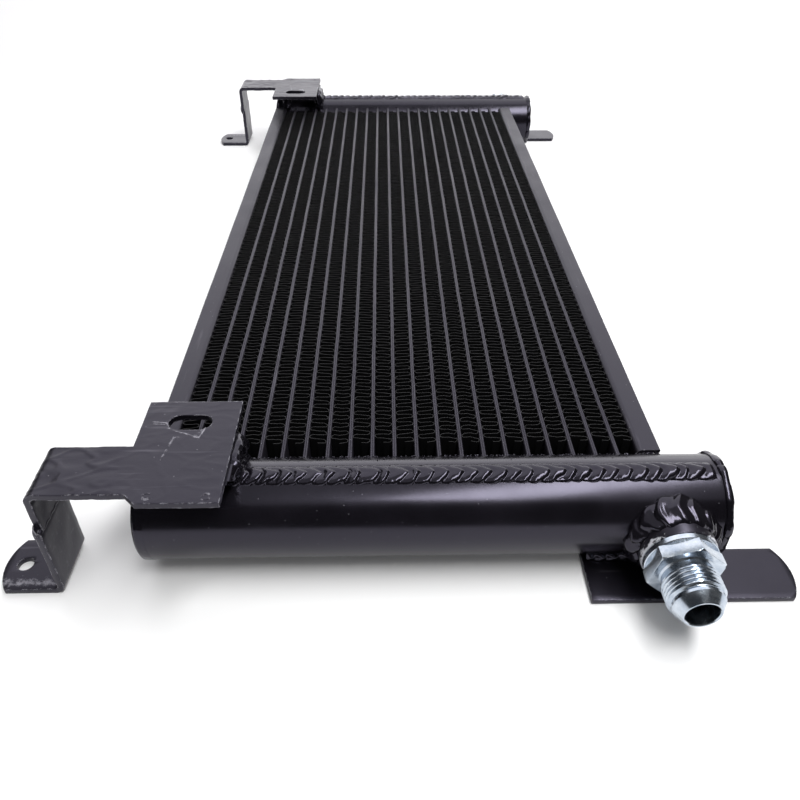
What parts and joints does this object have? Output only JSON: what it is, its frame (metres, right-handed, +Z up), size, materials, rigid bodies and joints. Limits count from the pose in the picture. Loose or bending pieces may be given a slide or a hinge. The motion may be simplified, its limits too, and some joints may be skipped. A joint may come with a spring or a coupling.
{
  "type": "hydraulic oil cooler",
  "caption": "Air-cooled oil cooler with a flat tube-and-fin core, round welded tanks, steel-bar mounting brackets and a male flare port at each end.",
  "frame": {"origin": "centre of the footprint, on the surface that the feet and lower plates stand on", "axes": "+X across the core towards the ports, +Y along the oil tubes towards the far tank, +Z up"},
  "size_m": [0.399, 0.7402, 0.0662],
  "materials": {
    "black_paint": "satin black sprayed paint, chipped at edges",
    "painted_tubes": "satin paint over brazed tube, dusty",
    "painted_fins": "thin black spray over fin strip",
    "zinc_plated_steel": "bright bluish zinc plate over turned steel",
    "nitrile_rubber": "moulded O-ring",
    "bare_strip": "rolled strip, oiled"
  },
  "bodies": {
    "root": {"near_tank_shell": "black_paint", "far_tank_shell": "black_paint", "near_header": "black_paint", "far_header": "black_paint", "near_left_cap": "black_paint", "near_right_cap": "black_paint", "far_left_cap": "black_paint", "far_right_cap": "black_paint", "left_side_channel": "black_paint", "right_side_channel": "black_paint", "air_fins": "painted_fins", "turbulators": "bare_strip", "oil_tube_01": "painted_tubes", "oil_tube_02": "painted_tubes", "oil_tube_03": "painted_tubes", "oil_tube_04": "painted_tubes", "oil_tube_05": "painted_tubes", "oil_tube_06": "painted_tubes", "oil_tube_07": "painted_tubes", "oil_tube_08": "painted_tubes", "oil_tube_09": "painted_tubes", "oil_tube_10": "painted_tubes", "oil_tube_11": "painted_tubes", "oil_tube_12": "painted_tubes", "oil_tube_13": "painted_tubes", "oil_tube_14": "painted_tubes", "oil_tube_15": "painted_tubes", "oil_tube_16": "painted_tubes", "oil_tube_17": "painted_tubes", "oil_tube_18": "painted_tubes", "oil_tube_19": "painted_tubes", "oil_tube_20": "painted_tubes", "near_port_boss": "black_paint", "far_port_boss": "black_paint", "near_port_adapter": "zinc_plated_steel", "far_port_adapter": "zinc_plated_steel", "near_port_seal": "nitrile_rubber", "far_port_seal": "nitrile_rubber", "near_top_bracket": "black_paint", "far_top_bracket": "black_paint", "near_foot": "black_paint", "far_foot": "black_paint", "near_bracket_webs": "black_paint", "far_bracket_webs": "black_paint", "near_lower_plate": "black_paint", "far_lower_plate": "black_paint", "near_seam_welds": "black_paint", "far_seam_welds": "black_paint", "near_cap_welds": "black_paint", "far_cap_welds": "black_paint", "near_boss_weld": "black_paint", "far_boss_weld": "black_paint", "near_leg_weld": "black_paint", "far_leg_weld": "black_paint", "near_plate_welds": "black_paint", "far_plate_welds": "black_paint"}
  },
  "joints": []
}
